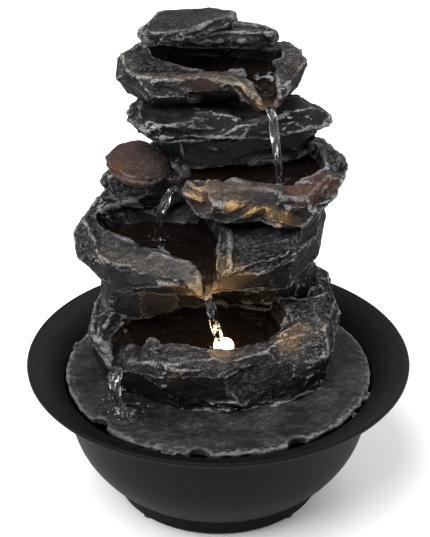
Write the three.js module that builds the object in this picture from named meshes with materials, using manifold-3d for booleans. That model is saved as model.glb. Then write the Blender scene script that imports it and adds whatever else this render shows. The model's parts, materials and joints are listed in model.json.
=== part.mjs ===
// Tabletop water fountain: a black plastic bowl, a slate plate that rests in the bowl's throat, and a stack of cast
// rocks with four cascading pools. A small pump on the bowl's floor feeds the top pool through a riser tube, and a lamp
// stands in the lowest pool. Millimetres, +Z up, origin under the middle of the bowl, front towards -Y.
import * as THREE from 'three';
import { mergeVertices } from 'three/addons/utils/BufferGeometryUtils.js';
import Module from 'manifold-3d';

const wasm = await Module();
wasm.setup();

// ---------- driving dimensions ----------
const GAP = 0.3;            // between faces that touch
const RUNNING = 0.1;        // radial clearance of what turns
const BED = 0.5;            // round a rock that sits in another's bed

const bowl = {
  rimRadius: 105,
  flareRise: 13,            // from the throat up to the rim
  throatRadius: 86.5,       // outside, where the wall turns into the flared rim
  throatHeight: 66,
  wall: 2.5,
  footRadius: 58,
  footHeight: 12,
  footWidth: 8,
  floorTop: 8.5,
  floor: 3,
  wallSteps: 9,
  sides: 48,
};
const rimHeight = bowl.throatHeight + bowl.flareRise;
const pad = { radius: 3.6, height: 1.5, count: 4, socket: 0.6 };
const plate = { thickness: 4.5, edgeGap: 1.0, lift: 2.2, sides: 44 };
const drain = { radius: 6, angles: [-139, -97, -60], rearRadius: 8, rearAngle: 90 };
const lug = { width: 8, depth: 3, length: 9, firstAngle: -18, count: 4 };

const spigot = { radius: 3.4, bore: 2.4, height: 13, overlap: 7, at: [-8, 34] };
const tube = { slip: 0.8, wall: 1.3, sides: 5, steps: 15 };   // slip: its bore round the spigot, a side
const tubeBore = spigot.radius + tube.slip;
const tubeOuter = tubeBore + tube.wall;
const duct = { clearance: 1.6, overrun: 6 };  // between the riser tube and the rocks
const nozzle = { flange: 2.5, height: 7, wall: 1.6, behind: 24 };   // behind: its place behind the pump's outlet

const nozzleCollar = tubeOuter + nozzle.flange;

const pump = {
  rearLength: 28,           // motor block, along X
  width: 26,                // along Y
  height: 28,
  voluteLength: 12,
  voluteRadius: 12.5,
  wall: 2,
  cupHeight: 8,
  cupRadius: 5,
};
const rotor = { radius: 6, length: 20, vaneRadius: 8.6, vaneLength: 5, vanes: 6, vaneThickness: 1.2, shaft: 1.1 };
const cover = { length: 11, wall: 1.8, slot: 2, slots: 5 };
const dial = { radius: 7, thickness: 2.2, grip: 2.5, stem: 1.8 };

const lamp = { at: [3, -15], radius: 6.5, wall: 0.8, height: 11.5 };
const lensRadius = lamp.radius - lamp.wall - GAP;
const lead = { radius: 1.4, clearance: 1.2, drop: 12, run: 22 };
const plug = { radius: 4.2, length: 15 };
const grommet = { height: 57, cord: 3.3, sleeve: 2.3, lip: 2.6, flangeThickness: 1.6, curveGap: 0.7 };
const grommetHole = grommet.cord + grommet.sleeve;
const grommetFlange = grommetHole + grommet.lip;

// Floors of the pools, from the plate's top face upward.
const poolFloor = { lower: 11, middle: 64, upper: 101, top: 148 };
// Heights of the rocks, from the same face.
const level = {
  lowerPool: 0,
  lowerSpacer: 28,
  middlePool: 55,
  middleSpacer: 79,
  pebble: 103.5,
  upperPool: 92.5,
  upperSpacer: 111,
  upperSlab: 129.8,
  topPool: 142.2,
  rearCap: 168,
  frontCap: 176.8,
};

// ---------- tools ----------
const turn = (degrees) => THREE.MathUtils.degToRad(degrees);

function toSolid(geometry) {
  const bare = geometry.index ? geometry.toNonIndexed() : geometry;
  const positions = new THREE.BufferGeometry().setAttribute('position', bare.getAttribute('position'));
  const merged = mergeVertices(positions, 1e-4);
  return new wasm.Manifold(new wasm.Mesh({
    numProp: 3,
    vertProperties: merged.attributes.position.array,
    triVerts: new Uint32Array(merged.index.array),
  }));
}

function toGeometry(solid) {
  const mesh = solid.getMesh();
  const geometry = new THREE.BufferGeometry();
  geometry.setAttribute('position', new THREE.BufferAttribute(new Float32Array(mesh.vertProperties), 3));
  geometry.setIndex(new THREE.BufferAttribute(new Uint32Array(mesh.triVerts), 1));
  geometry.computeVertexNormals();
  return geometry;
}

const join = (first, ...others) => others.reduce((sum, next) => sum.add(next), first);
const cut = (first, ...others) => others.reduce((rest, next) => rest.subtract(next), first);

// A closed body through rings of points that have the same number of points each.
function loft(rings) {
  const count = rings[0].length;
  const centre = (ring) => ring.reduce((sum, p) => sum.add(p), new THREE.Vector3()).divideScalar(count);
  const points = [...rings.flat(), centre(rings[0]), centre(rings.at(-1))];
  const last = (rings.length - 1) * count;
  const [firstCentre, lastCentre] = [points.length - 2, points.length - 1];
  const index = [];
  for (let i = 0; i < count; i++) {
    const j = (i + 1) % count;
    for (let r = 0; r < last; r += count) {
      index.push(r + i, r + j, r + count + j, r + i, r + count + j, r + count + i);
    }
    index.push(firstCentre, j, i, lastCentre, last + i, last + j);
  }
  const geometry = new THREE.BufferGeometry().setFromPoints(points);
  geometry.setIndex(index);
  const made = toSolid(geometry);
  if (made.volume() >= 0) return made;
  geometry.setIndex(index.reverse());
  return toSolid(geometry);
}

function lathe(profile, segments) {
  return toSolid(new THREE.LatheGeometry(profile.map(([r, z]) => new THREE.Vector2(r, z)), segments)
    .rotateX(Math.PI / 2));
}

// A cylinder or cone frustum standing on its lower end.
function post(x, y, bottom, top, radius, sides = 20, topRadius = radius) {
  return toSolid(new THREE.CylinderGeometry(topRadius, radius, top - bottom, sides)
    .rotateX(Math.PI / 2).translate(x, y, (bottom + top) / 2));
}

// The same lying along X, from one x to another.
function bar(fromX, toX, y, z, radius, sides = 20) {
  return toSolid(new THREE.CylinderGeometry(radius, radius, toX - fromX, sides)
    .rotateZ(-Math.PI / 2).translate((fromX + toX) / 2, y, z));
}

function block(x0, x1, y0, y1, z0, z1) {
  return toSolid(new THREE.BoxGeometry(x1 - x0, y1 - y0, z1 - z0)
    .translate((x0 + x1) / 2, (y0 + y1) / 2, (z0 + z1) / 2));
}

function sweep(path, radius, bore, sides, steps) {
  const shape = new THREE.Shape().absarc(0, 0, radius, 0, Math.PI * 2);
  if (bore) shape.holes.push(new THREE.Path().absarc(0, 0, bore, 0, Math.PI * 2));
  return toSolid(new THREE.ExtrudeGeometry(shape, { steps, extrudePath: path, curveSegments: sides }));
}

// Repeatable unevenness from -1 to 1.
function wobble(seed, i, j) {
  const wave = Math.sin(seed * 37.7 + i * 12.9898 + j * 78.233) * 43758.5453;
  return 2 * (wave - Math.floor(wave)) - 1;
}

// A chiselled rock. rim lists its widest outline as [x, y, rise of the top there]; steps lists [share of the height,
// inset] from base to top; foot, where the rock stands on another outline than its rim, has a point for each rim point.
function rock({ base, height, rim, foot, steps, seed, chisel = 0.9 }, grow = 0) {
  const middleX = rim.reduce((sum, p) => sum + p[0], 0) / rim.length;
  const middleY = rim.reduce((sum, p) => sum + p[1], 0) / rim.length;
  const rings = steps.map(([share, inset], step) => rim.map(([x, y, rise = 0], i) => {
    const [footX, footY] = foot ? foot[i] : [x, y];
    const out = new THREE.Vector2(
      THREE.MathUtils.lerp(footX, x, share) - middleX,
      THREE.MathUtils.lerp(footY, y, share) - middleY,
    );
    out.setLength(out.length() - inset + grow + chisel * wobble(seed, i, step));
    const end = step === 0 ? -grow : step === steps.length - 1 ? grow : 0;
    const z = base + share * (height + rise) + end;
    return new THREE.Vector3(middleX + out.x, middleY + out.y, z);
  }));
  return loft(rings);
}

// What a pool takes out of its rock: straight above the rim, drawn in towards the floor.
function basin(outline, floor, brim, slope) {
  const middleX = outline.reduce((sum, p) => sum + p[0], 0) / outline.length;
  const middleY = outline.reduce((sum, p) => sum + p[1], 0) / outline.length;
  const ring = (z, inset) => outline.map(([x, y]) => {
    const out = new THREE.Vector2(x - middleX, y - middleY);
    out.setLength(out.length() - inset);
    return new THREE.Vector3(middleX + out.x, middleY + out.y, z);
  });
  return loft([
    ring(floor, slope),
    ring(THREE.MathUtils.lerp(floor, brim, 0.4), slope * 0.35),
    ring(brim, 0),
    ring(brim + 45, -1),
  ]);
}

// What a spout takes out: stations of [x, y, floor height, half width] from the pool to past the lip.
function runnel(stations) {
  return loft(stations.map(([x, y, z, half], i) => {
    const [nextX, nextY] = stations[Math.min(i + 1, stations.length - 1)];
    const [lastX, lastY] = stations[Math.max(i - 1, 0)];
    const across = new THREE.Vector2(nextY - lastY, lastX - nextX).setLength(1);
    const corner = (side, up) => new THREE.Vector3(x + across.x * side, y + across.y * side, z + up);
    return [
      corner(-half * 0.55, 0),
      corner(half * 0.55, 0),
      corner(half, 3),
      corner(half * 1.25, 50),
      corner(-half * 1.25, 50),
      corner(-half, 3),
    ];
  }));
}

// ---------- materials ----------
const finish = (color, roughness, metalness = 0) => new THREE.MeshStandardMaterial({ color, roughness, metalness });
const blackPlastic = finish(0x1c1c1d, 0.55);
const slate = finish(0x39393a, 0.85);
const darkSlate = finish(0x2c2c2e, 0.85);
const pumpPlastic = finish(0x151617, 0.45);
const rubber = finish(0x101010, 0.9);
const clearVinyl = finish(0xc9d3d4, 0.25);
const lensPlastic = finish(0xffe2b0, 0.2);
const whitePlastic = finish(0xd9d6cc, 0.5);
const ceramic = finish(0xe6e4df, 0.4);

const fountain = new THREE.Group();
const rockery = new THREE.Group();
fountain.add(rockery);

function put(group, name, solid, material) {
  const mesh = new THREE.Mesh(toGeometry(solid), material);
  mesh.name = name;
  group.add(mesh);
  return mesh;
}

// ---------- bowl ----------
const footZ = pad.height - pad.socket;

// Outside of the wall from above the foot to the edge of the rim, as [radius, height].
const wallKnots = [
  [bowl.footRadius + 4.5, bowl.footHeight + 0.8],
  [bowl.footRadius + 12, bowl.footHeight + 8],
  [bowl.footRadius + 19, bowl.footHeight + 18],
  [bowl.throatRadius - 5.3, bowl.throatHeight - 26],
  [bowl.throatRadius - 2.6, bowl.throatHeight - 14],
  [bowl.throatRadius, bowl.throatHeight],
  [THREE.MathUtils.lerp(bowl.throatRadius, bowl.rimRadius, 0.16), bowl.throatHeight + 4.6],
  [THREE.MathUtils.lerp(bowl.throatRadius, bowl.rimRadius, 0.5), rimHeight - 3.8],
  [THREE.MathUtils.lerp(bowl.throatRadius, bowl.rimRadius, 0.86), rimHeight - 0.9],
  [bowl.rimRadius, rimHeight - 0.4],
];

function wallCurve(offset, samples) {
  const curve = new THREE.SplineCurve(wallKnots.map(([r, z]) => new THREE.Vector2(r, z)));
  return Array.from({ length: samples + 1 }, (_, i) => {
    const at = curve.getPoint(i / samples);
    const along = curve.getTangent(i / samples);
    return [at.x - along.y * offset, at.y + along.x * offset];
  });
}

const outsideWall = wallCurve(0, bowl.wallSteps);
const insideWall = wallCurve(bowl.wall, bowl.wallSteps);

function makeBowl() {
  const innerFoot = bowl.footRadius - bowl.footWidth;
  const underFloor = bowl.floorTop - bowl.floor;
  const lip = [
    [bowl.rimRadius + 0.5, rimHeight + 0.6],
    [bowl.rimRadius + 0.1, rimHeight + 1.8],
    [bowl.rimRadius - 1.2, rimHeight + 2.3],
  ];
  const insideFromRim = insideWall.slice(1, -1).reverse();
  const profile = [
    [0, underFloor],
    [innerFoot - 2, underFloor],
    [innerFoot, footZ],
    [bowl.footRadius - 1.6, footZ],
    [bowl.footRadius - 0.6, footZ + 1],
    [bowl.footRadius, bowl.footHeight - 1.4],
    [bowl.footRadius + 1.6, bowl.footHeight - 0.6],
    ...outsideWall,
    ...lip,
    ...insideFromRim,
    [bowl.footRadius + 0.6, bowl.floorTop + 3.2],
    [bowl.footRadius - 4, bowl.floorTop],
    [0, bowl.floorTop],
  ];
  const body = lathe(profile, bowl.sides);
  const sockets = padPlaces.map(([x, y]) => post(x, y, -1, footZ + pad.socket + GAP, pad.radius + GAP));
  const cordHole = toSolid(new THREE.CylinderGeometry(grommetHole + GAP, grommetHole + GAP, 24, 24)
    .rotateX(-grommetWall.lean).translate(0, grommetWall.radius, grommet.height));
  return cut(body, ...sockets, cordHole);
}

const padPlaces = Array.from({ length: pad.count }, (_, i) => {
  const angle = turn(45 + (i * 360) / pad.count);
  const radius = bowl.footRadius - bowl.footWidth / 2 - 0.6;
  return [radius * Math.cos(angle), radius * Math.sin(angle)];
});

// The middle of the bowl's wall at a height below the rim, and how far the wall leans out there.
function wallAt(height) {
  const above = outsideWall.findIndex(([, z]) => z > height);
  const [[r0, z0], [r1, z1]] = [outsideWall[above - 1], outsideWall[above]];
  return {
    radius: r0 + ((r1 - r0) * (height - z0)) / (z1 - z0) - bowl.wall / 2,
    lean: Math.atan2(r1 - r0, z1 - z0),
  };
}
const grommetWall = wallAt(grommet.height);

function makeGrommet() {
  const outer = bowl.wall / 2 + GAP;
  const inner = -outer - grommet.curveGap;
  const body = lathe([
    [0, inner - grommet.flangeThickness],
    [grommetFlange, inner - grommet.flangeThickness],
    [grommetFlange, inner],
    [grommetHole, inner],
    [grommetHole, outer],
    [grommetFlange, outer],
    [grommetFlange, outer + 0.6],
    [grommet.cord + 2, outer + grommet.flangeThickness + 1.6],
    [0, outer + grommet.flangeThickness + 1.6],
  ], 24);
  // The wall leans, but the cord leaves level.
  const cordWay = post(0, 0, -12, 12, grommet.cord, 20).rotate([THREE.MathUtils.radToDeg(grommetWall.lean), 0, 0]);
  return cut(body, cordWay);
}

put(fountain, 'bowl', makeBowl(), blackPlastic);
padPlaces.forEach(([x, y], i) => {
  put(fountain, `foot_pad_${i + 1}`, post(x, y, 0, pad.height, pad.radius, 16), rubber);
});
const cordGrommet = put(fountain, 'cord_grommet', makeGrommet(), rubber);
cordGrommet.position.set(0, grommetWall.radius, grommet.height);
cordGrommet.rotation.x = turn(-90) - grommetWall.lean;

// ---------- pump ----------
const pumpBase = bowl.floorTop + pump.cupHeight;
const pumpTop = pumpBase + pump.height;
const [outletX, outletY] = spigot.at;
const voluteFront = outletX - pump.voluteLength / 2;
const voluteBack = outletX + pump.voluteLength / 2;
const pumpBack = voluteBack + pump.rearLength;
const axleZ = pumpBase + pump.height / 2;
const pumpSouth = outletY - pump.width / 2;
const pumpNorth = outletY + pump.width / 2;
const spigotTop = pumpTop + spigot.height;
const rotorStart = voluteBack + 1.5;

function makePumpHousing() {
  const motor = block(voluteBack, pumpBack, pumpSouth, pumpNorth, pumpBase, pumpTop);
  const volute = bar(voluteFront, voluteBack + 0.5, outletY, axleZ, pump.voluteRadius, 32);
  const base = block(voluteFront, voluteBack + 0.5, outletY - 9, outletY + 9, pumpBase, axleZ);
  const chamber = bar(voluteFront - 1, voluteBack - pump.wall, outletY, axleZ, pump.voluteRadius - pump.wall, 32);
  const well = bar(voluteBack - pump.wall - 1, pumpBack - 4, outletY, axleZ, rotor.radius + 1.2, 24);
  const shaftSeat = bar(pumpBack - 5, pumpBack - 2, outletY, axleZ, rotor.shaft + GAP, 12);
  const outlet = post(outletX, outletY, axleZ + 8, spigotTop, spigot.radius, 20);
  const outletBore = post(outletX, outletY, axleZ + 6, spigotTop + 1, spigot.bore, 16);
  const shoulder = post(outletX, outletY, axleZ + 8, pumpTop + 1, spigot.radius + 2.2, 20);
  const ribs = [-8, -3, 2, 7].map((y) => block(
    voluteBack + 4, pumpBack - 3, outletY + y, outletY + y + 1.4, pumpTop - 0.5, pumpTop + 1.2,
  ));
  return cut(join(motor, volute, base, shoulder, outlet, ...ribs), chamber, well, shaftSeat, outletBore);
}

function makeImpeller() {
  const magnet = bar(rotorStart, rotorStart + rotor.length, outletY, axleZ, rotor.radius, 20);
  const neck = bar(rotorStart - 5, rotorStart + 0.5, outletY, axleZ, 4, 16);
  const disc = bar(rotorStart - 6, rotorStart - 5, outletY, axleZ, rotor.vaneRadius, 24);
  const vanes = Array.from({ length: rotor.vanes }, (_, i) => toSolid(
    new THREE.BoxGeometry(rotor.vaneLength, rotor.vaneThickness, rotor.vaneRadius - 1.6)
      .translate(0, 0, (rotor.vaneRadius + 1.6) / 2)
      .rotateX((i * 2 * Math.PI) / rotor.vanes)
      .translate(rotorStart - 5.5 - rotor.vaneLength / 2, outletY, axleZ),
  ));
  const hub = bar(rotorStart - 6 - rotor.vaneLength, rotorStart - 5.5, outletY, axleZ, 2.6, 12);
  const bore = bar(rotorStart - 20, rotorStart + rotor.length + 5, outletY, axleZ, rotor.shaft + RUNNING, 20);
  return cut(join(magnet, neck, disc, hub, ...vanes), bore);
}

function makeVoluteCover() {
  const plateDisc = bar(voluteFront - 2, voluteFront - GAP, outletY, axleZ, pump.voluteRadius, 32);
  const inlet = bar(voluteFront - 3, voluteFront, outletY, axleZ, 6, 24);
  const spokes = [0, 60, 120].map((angle) => toSolid(
    new THREE.BoxGeometry(1.4, 1.4, 13).rotateX(turn(angle)).translate(voluteFront - 1.2, outletY, axleZ),
  ));
  const boss = bar(voluteFront - 2, voluteFront - GAP, outletY, axleZ, 2.8, 12);
  const seat = bar(voluteFront - 1.2, voluteFront + 1, outletY, axleZ, rotor.shaft + GAP, 12);
  return cut(join(cut(plateDisc, inlet), boss, ...spokes), seat);
}

function makeShaft() {
  return bar(voluteFront - 1, pumpBack - 2.3, outletY, axleZ, rotor.shaft, 20);
}

const coverBack = voluteFront - 2 - GAP;
const coverFront = coverBack - cover.length;

function makeIntakeCover() {
  const half = pump.width / 2;
  const shell = block(coverFront, coverBack, outletY - half, outletY + half, pumpBase, pumpTop);
  const room = block(
    coverFront + cover.wall, coverBack + 1,
    outletY - half + cover.wall, outletY + half - cover.wall,
    pumpBase + cover.wall, pumpTop - cover.wall,
  );
  const pitch = (pump.width - 6) / cover.slots;
  const slots = Array.from({ length: cover.slots }, (_, i) => {
    const y = outletY - half + 3 + pitch * (i + 0.5) - cover.slot / 2;
    return [[pumpTop - 6.5, pumpTop - 2.8], [pumpBase + 2.8, pumpBase + 6.5]].map(([low, high]) => (
      block(coverFront - 1, coverFront + cover.wall + 1, y, y + cover.slot, low, high)
    ));
  }).flat();
  const port = bar(coverFront - 1, coverFront + cover.wall + 1, outletY, axleZ, dial.stem + RUNNING, 20);
  const windows = [0, 90, 180, 270].map((angle) => toSolid(
    new THREE.BoxGeometry(4, 2.4, 2.4).translate(0, 0, 4.6).rotateX(turn(angle))
      .translate(coverFront + 1, outletY, axleZ),
  ));
  return cut(shell, room, port, ...slots, ...windows);
}

function makeFlowDial() {
  const disc = bar(coverFront - GAP - dial.thickness, coverFront - GAP, outletY, axleZ, dial.radius, 28);
  const stem = bar(coverFront - 1, coverFront + cover.wall + 1, outletY, axleZ, dial.stem, 20);
  const grip = block(
    coverFront - GAP - dial.thickness - dial.grip, coverFront - GAP - 0.5,
    outletY - 1.1, outletY + 1.1, axleZ - dial.radius + 0.6, axleZ + dial.radius - 0.6,
  );
  const ports = [0, 90, 180, 270].map((angle) => toSolid(
    new THREE.BoxGeometry(6, 2.2, 2.2).translate(0, 0, 4.6).rotateX(turn(angle))
      .translate(coverFront - 1.5, outletY, axleZ),
  ));
  return cut(join(disc, stem, grip), ...ports);
}

// A suction cup: bell on the floor, neck, and a stud that enters the housing's underside.
function makeSuctionCup() {
  return lathe([
    [0, 1.4],
    [pump.cupRadius - 1.4, 0.6],
    [pump.cupRadius, 0],
    [pump.cupRadius, 0.7],
    [2.6, 3.2],
    [1.8, 4.4],
    [2.8, 5.4],
    [2.8, pump.cupHeight - 2 * GAP],
    [0, pump.cupHeight - 2 * GAP],
  ], 18);
}

put(fountain, 'pump_housing', makePumpHousing(), pumpPlastic);
put(fountain, 'volute_cover', makeVoluteCover(), pumpPlastic);
put(fountain, 'impeller', makeImpeller(), whitePlastic);
put(fountain, 'impeller_shaft', makeShaft(), ceramic);
put(fountain, 'intake_cover', makeIntakeCover(), pumpPlastic);
put(fountain, 'flow_dial', makeFlowDial(), whitePlastic);
[
  [voluteFront + 5, -7],
  [voluteFront + 5, 7],
  [pumpBack - 6, -7],
  [pumpBack - 6, 7],
].forEach(([x, offset], i) => {
  put(fountain, `suction_cup_${i + 1}`, makeSuctionCup(), rubber).position.set(x, outletY + offset, bowl.floorTop + GAP);
});

// ---------- rocks: their shapes, in the frame of the plate's top face ----------
const lowerPool = {
  base: level.lowerPool + GAP,
  height: 29,
  seed: 1,
  steps: [[0, 1], [0.2, 0], [0.5, 1.5], [0.85, 0], [1, 4]],
  rim: [
    [-76, -3, 0], [-68, -20, -1], [-59, -34, -2], [-47, -44, -2], [-34, -51, 0], [-18, -54, 0], [-6, -50, -1],
    [6, -44, 1], [20, -38, 1], [32, -29, 1], [44, -26, 2], [57, -27, 2], [65, -10, 4], [69, 14, 8], [65, 38, 12],
    [48, 60, 12], [22, 72, 8], [-14, 75, 6], [-44, 68, 5], [-66, 46, 4], [-74, 20, 2],
  ],
  foot: [
    [-62, -5], [-61, -18], [-54, -26], [-43, -32], [-33, -39], [-18, -44], [-3, -47],
    [10, -47], [22, -44], [34, -40], [46, -34], [58, -22], [62, -6], [64, 14], [61, 38],
    [47, 58], [21, 70], [-13, 73], [-42, 65], [-60, 44], [-64, 18],
  ],
};
const lowerSpacer = {
  base: level.lowerSpacer,
  height: 28.5,
  seed: 2,
  steps: [[0, 4], [0.3, 0], [0.62, 2.5], [1, 7]],
  rim: [
    [-68, 28], [-63, 13], [-50, 3], [-36, 5], [-20, 14], [-4, 21], [14, 21], [32, 16], [46, 16], [55, 26],
    [57, 42], [46, 60], [20, 73], [-14, 75], [-44, 68], [-63, 48],
  ],
};
const middlePool = {
  base: level.middlePool,
  height: 22,
  seed: 3,
  steps: [[0, 8], [0.3, 3], [0.72, 0], [1, 6]],
  rim: [
    [-79, 28, 3], [-77, 12, 1], [-70, -3, 0], [-58, -13, -1], [-46, -18, 0], [-34, -22, 0], [-22, -25, -1],
    [-13, -27, -3], [-5, -26, -5], [4, -22, 5], [18, -19, 13], [33, -16, 14], [46, -9, 15], [56, 8, 15], [61, 28, 15],
    [56, 50, 15], [38, 68, 15], [4, 76, 15], [-30, 74, 14], [-58, 62, 12], [-74, 45, 8],
  ],
};
const middleSpacer = {
  base: level.middleSpacer,
  height: 25.5,
  seed: 4,
  steps: [[0, 2], [0.4, 0], [0.75, 1], [1, 3]],
  rim: [
    [-64, 54], [-56, 41], [-42, 37], [-28, 38], [-18, 44], [-20, 60], [-34, 71], [-52, 68],
  ],
};
const pebble = {
  base: level.pebble,
  height: 13.5,
  seed: 5,
  chisel: 0.5,
  steps: [[0, 7], [0.22, 2.5], [0.48, 0.2], [0.56, 0.4], [0.84, 2], [1, 7]],
  rim: [
    [-63, 35], [-59, 22], [-50, 13], [-38, 10], [-29, 15], [-25, 28], [-30, 44], [-42, 54], [-56, 49],
  ],
};
const upperPool = {
  base: level.upperPool,
  height: 20.5,
  seed: 6,
  steps: [[0, 10], [0.35, 4], [0.78, 0], [1, 4]],
  rim: [
    [-23, 16, -3], [-19, 1, -1], [-11, -9, 0], [2, -13, 0], [14, -12, 0], [25, -9, 0], [36, -17, -1], [48, -18, -1],
    [61, -5, 0], [68, 14, 1], [69, 34, 3], [62, 53, 4], [42, 69, 4], [8, 76, 4], [-20, 73, 4], [-32, 58, 3],
    [-31, 38, 0],
  ],
};
const upperSpacer = {
  base: level.upperSpacer,
  height: 19,
  seed: 7,
  steps: [[0, 0], [0.35, 3], [0.6, 2], [1, 5]],
  rim: [
    [-38, 50], [-34, 38], [-24, 26], [-8, 24], [10, 27], [28, 31], [44, 38], [57, 50], [46, 64], [20, 74], [-8, 75],
    [-30, 66],
  ],
};
const upperSlab = {
  base: level.upperSlab,
  height: 12,
  seed: 8,
  steps: [[0, 3], [0.25, 0], [0.7, 0.6], [1, 5]],
  rim: [
    [-50, 40, 0], [-46, 26, 0], [-40, 17, 0], [-30, 15, 0], [-16, 17, 0], [0, 16, 0], [18, 18, 0], [36, 21, 0],
    [53, 25, 0], [61, 35, 0], [55, 47, 0], [40, 62, 0], [16, 73, 0], [-12, 75, 0], [-35, 69, 0], [-47, 55, 0],
  ],
};
const topPool = {
  base: level.topPool,
  height: 19,
  seed: 9,
  steps: [[0, 1], [0.4, -1], [0.8, 0], [1, 3]],
  rim: [
    [-57, 58, 5], [-56, 45, 2], [-49, 33, -1], [-36, 26, -1], [-22, 24, 0], [-6, 24, 0], [8, 22, 0], [17, 16, -2],
    [24, 9, -7], [32, 11, -7], [38, 24, -1], [45, 33, 1], [51, 47, 3], [48, 61, 4], [38, 73, 5], [10, 79, 7],
    [-20, 79, 7], [-44, 72, 7],
  ],
  foot: [
    [-53, 58], [-52, 51], [-43, 44], [-31, 33], [-19, 33], [-6, 40], [4, 43], [14, 39],
    [23, 31], [28, 32], [32, 39], [36, 48], [39, 55], [37, 62], [29, 69], [8, 73],
    [-20, 73], [-42, 69],
  ],
};
const rearCap = {
  base: level.rearCap,
  height: 8.5,
  seed: 10,
  chisel: 0.5,
  steps: [[0, 3], [0.5, 0], [1, 1.2]],
  rim: [
    [-36, 62], [-22, 55], [-8, 53], [4, 55], [12, 54], [20, 54], [31, 55], [33, 59], [27, 66], [14, 72],
    [-8, 76], [-26, 75], [-36, 70],
  ],
};
const frontCap = {
  base: level.frontCap,
  height: 8.5,
  seed: 11,
  chisel: 0.5,
  steps: [[0, 4], [0.5, 0], [1, 1.4]],
  rim: [
    [-43, 42, -2], [-39, 35, -2], [-30, 36, -1], [-18, 37, -1], [-9, 43, 0], [0, 52, 0], [9, 59, 0], [10, 65, 0],
    [-3, 70, 0], [-20, 69, 0], [-33, 66, -1], [-38, 54, -2],
  ],
};

// Pools: outline at the rim, floor height, height of the rim, and how far the sides draw in.
const lowerBasin = basin([
  [-52, 2], [-46, -9], [-34, -18], [-20, -25], [-4, -27], [10, -26], [24, -19], [34, -9], [36, 4], [28, 18], [8, 24],
  [-20, 24], [-42, 16],
], poolFloor.lower, 29, 5);
const middleBasin = basin([
  [-66, 28], [-61, 14], [-50, 6], [-38, 0], [-28, -5], [-18, -9], [-8, -10], [-1, -4], [1, 10], [0, 26], [-10, 36],
  [-34, 38], [-56, 36],
], poolFloor.middle, 77, 4);
const upperBasin = basin([
  [-16, 12], [-4, 5], [12, 6], [26, 5], [38, 2], [50, 8], [59, 22], [56, 40], [42, 48], [16, 50], [-8, 46],
  [-18, 34],
], poolFloor.upper, 112, 4);
const topBasin = basin([
  [-39, 61], [-34, 52], [-21, 44], [-6, 41], [8, 40], [17, 39], [26, 42], [34, 52], [33, 62], [20, 68], [0, 70],
  [-26, 69],
], poolFloor.top, 160, 3.5);

// Spouts, which carry the water from pool to pool.
const lowerRunnel = runnel([[-38, 2, 24, 11], [-49, -18, 23.4, 9], [-54, -37, 22, 5.5], [-60, -56, 20, 4.5]]);
const middleRunnel = runnel([[-18, 4, 72, 14], [-11, -8, 67, 10.5], [-6, -20, 57.5, 4.5], [-4, -34, 54, 4.5]]);
const upperRunnel = runnel([[-6, 22, 107.5, 8], [-17, 15, 106.5, 7], [-26, 9, 104.5, 5.5], [-44, 0, 101, 5]]);
const topRunnel = runnel([[18, 52, 154, 9], [23, 36, 152, 8], [27, 19, 149.5, 5.5], [29, 4, 146, 4.5]]);

// ---------- riser tube, in the same frame ----------
const plateTop = bowl.throatHeight + plate.lift + plate.thickness;
const tubeFoot = spigotTop - spigot.overlap - plateTop;
const tubeTop = poolFloor.top + 1;
const nozzleY = outletY + nozzle.behind;
const riser = new THREE.CatmullRomCurve3([
  new THREE.Vector3(outletX, outletY, tubeFoot),
  new THREE.Vector3(outletX, outletY, tubeFoot + 16),
  new THREE.Vector3(outletX, outletY + 2, 6),
  new THREE.Vector3(outletX, outletY + 9, 32),
  new THREE.Vector3(outletX, outletY + 18, 62),
  new THREE.Vector3(outletX, outletY + 23, 90),
  new THREE.Vector3(outletX, nozzleY, 115),
  new THREE.Vector3(outletX, nozzleY, tubeTop),
]);
const ductPath = new THREE.CatmullRomCurve3([
  new THREE.Vector3(outletX, outletY, tubeFoot - duct.overrun),
  ...riser.points.slice(1, -1),
  new THREE.Vector3(outletX, nozzleY, tubeTop + duct.overrun),
]);
const ductHole = sweep(ductPath, tubeOuter + duct.clearance, 0, tube.sides, tube.steps);

// ---------- slate plate ----------
const plateRadius = bowl.throatRadius - bowl.wall - plate.edgeGap + 2;

function makePlate() {
  const ring = (z, inset, step) => Array.from({ length: plate.sides }, (_, i) => {
    const angle = (i * 2 * Math.PI) / plate.sides;
    const radius = plateRadius - inset - 0.5 * Math.abs(wobble(12, i, step));
    return new THREE.Vector3(radius * Math.cos(angle), radius * Math.sin(angle), z);
  });
  const slab = loft([
    ring(-plate.thickness, 1.8, 0),
    ring(-plate.thickness * 0.5, 0.5, 1),
    ring(-0.8, 0.2, 2),
    ring(0, 1.6, 3),
  ]);
  const insideOfBowl = lathe([
    [0, insideWall[0][1]],
    ...insideWall.slice(1).map(([r, z]) => [r - GAP, z + GAP]),
    [0, insideWall.at(-1)[1] + GAP],
  ], bowl.sides).translate([0, 0, -plateTop]);
  const lugs = Array.from({ length: lug.count }, (_, i) => toSolid(
    new THREE.BoxGeometry(lug.length, lug.width, plate.thickness - 1 + lug.depth)
      .translate(plateRadius - lug.length / 2 + 3, 0, -1 - (plate.thickness - 1 + lug.depth) / 2)
      .rotateZ(turn(lug.firstAngle + (i * 360) / lug.count)),
  ).intersect(insideOfBowl));
  const notch = (angle, radius) => post(
    plateRadius * Math.cos(turn(angle)), plateRadius * Math.sin(turn(angle)), -20, 20, radius, 20,
  );
  const drains = drain.angles.map((angle) => notch(angle, drain.radius));
  const leadHole = post(...lamp.at, -20, 20, lead.radius + lead.clearance, 12);
  return cut(join(slab, ...lugs), ...drains, notch(drain.rearAngle, drain.rearRadius), leadHole, ductHole);
}

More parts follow.
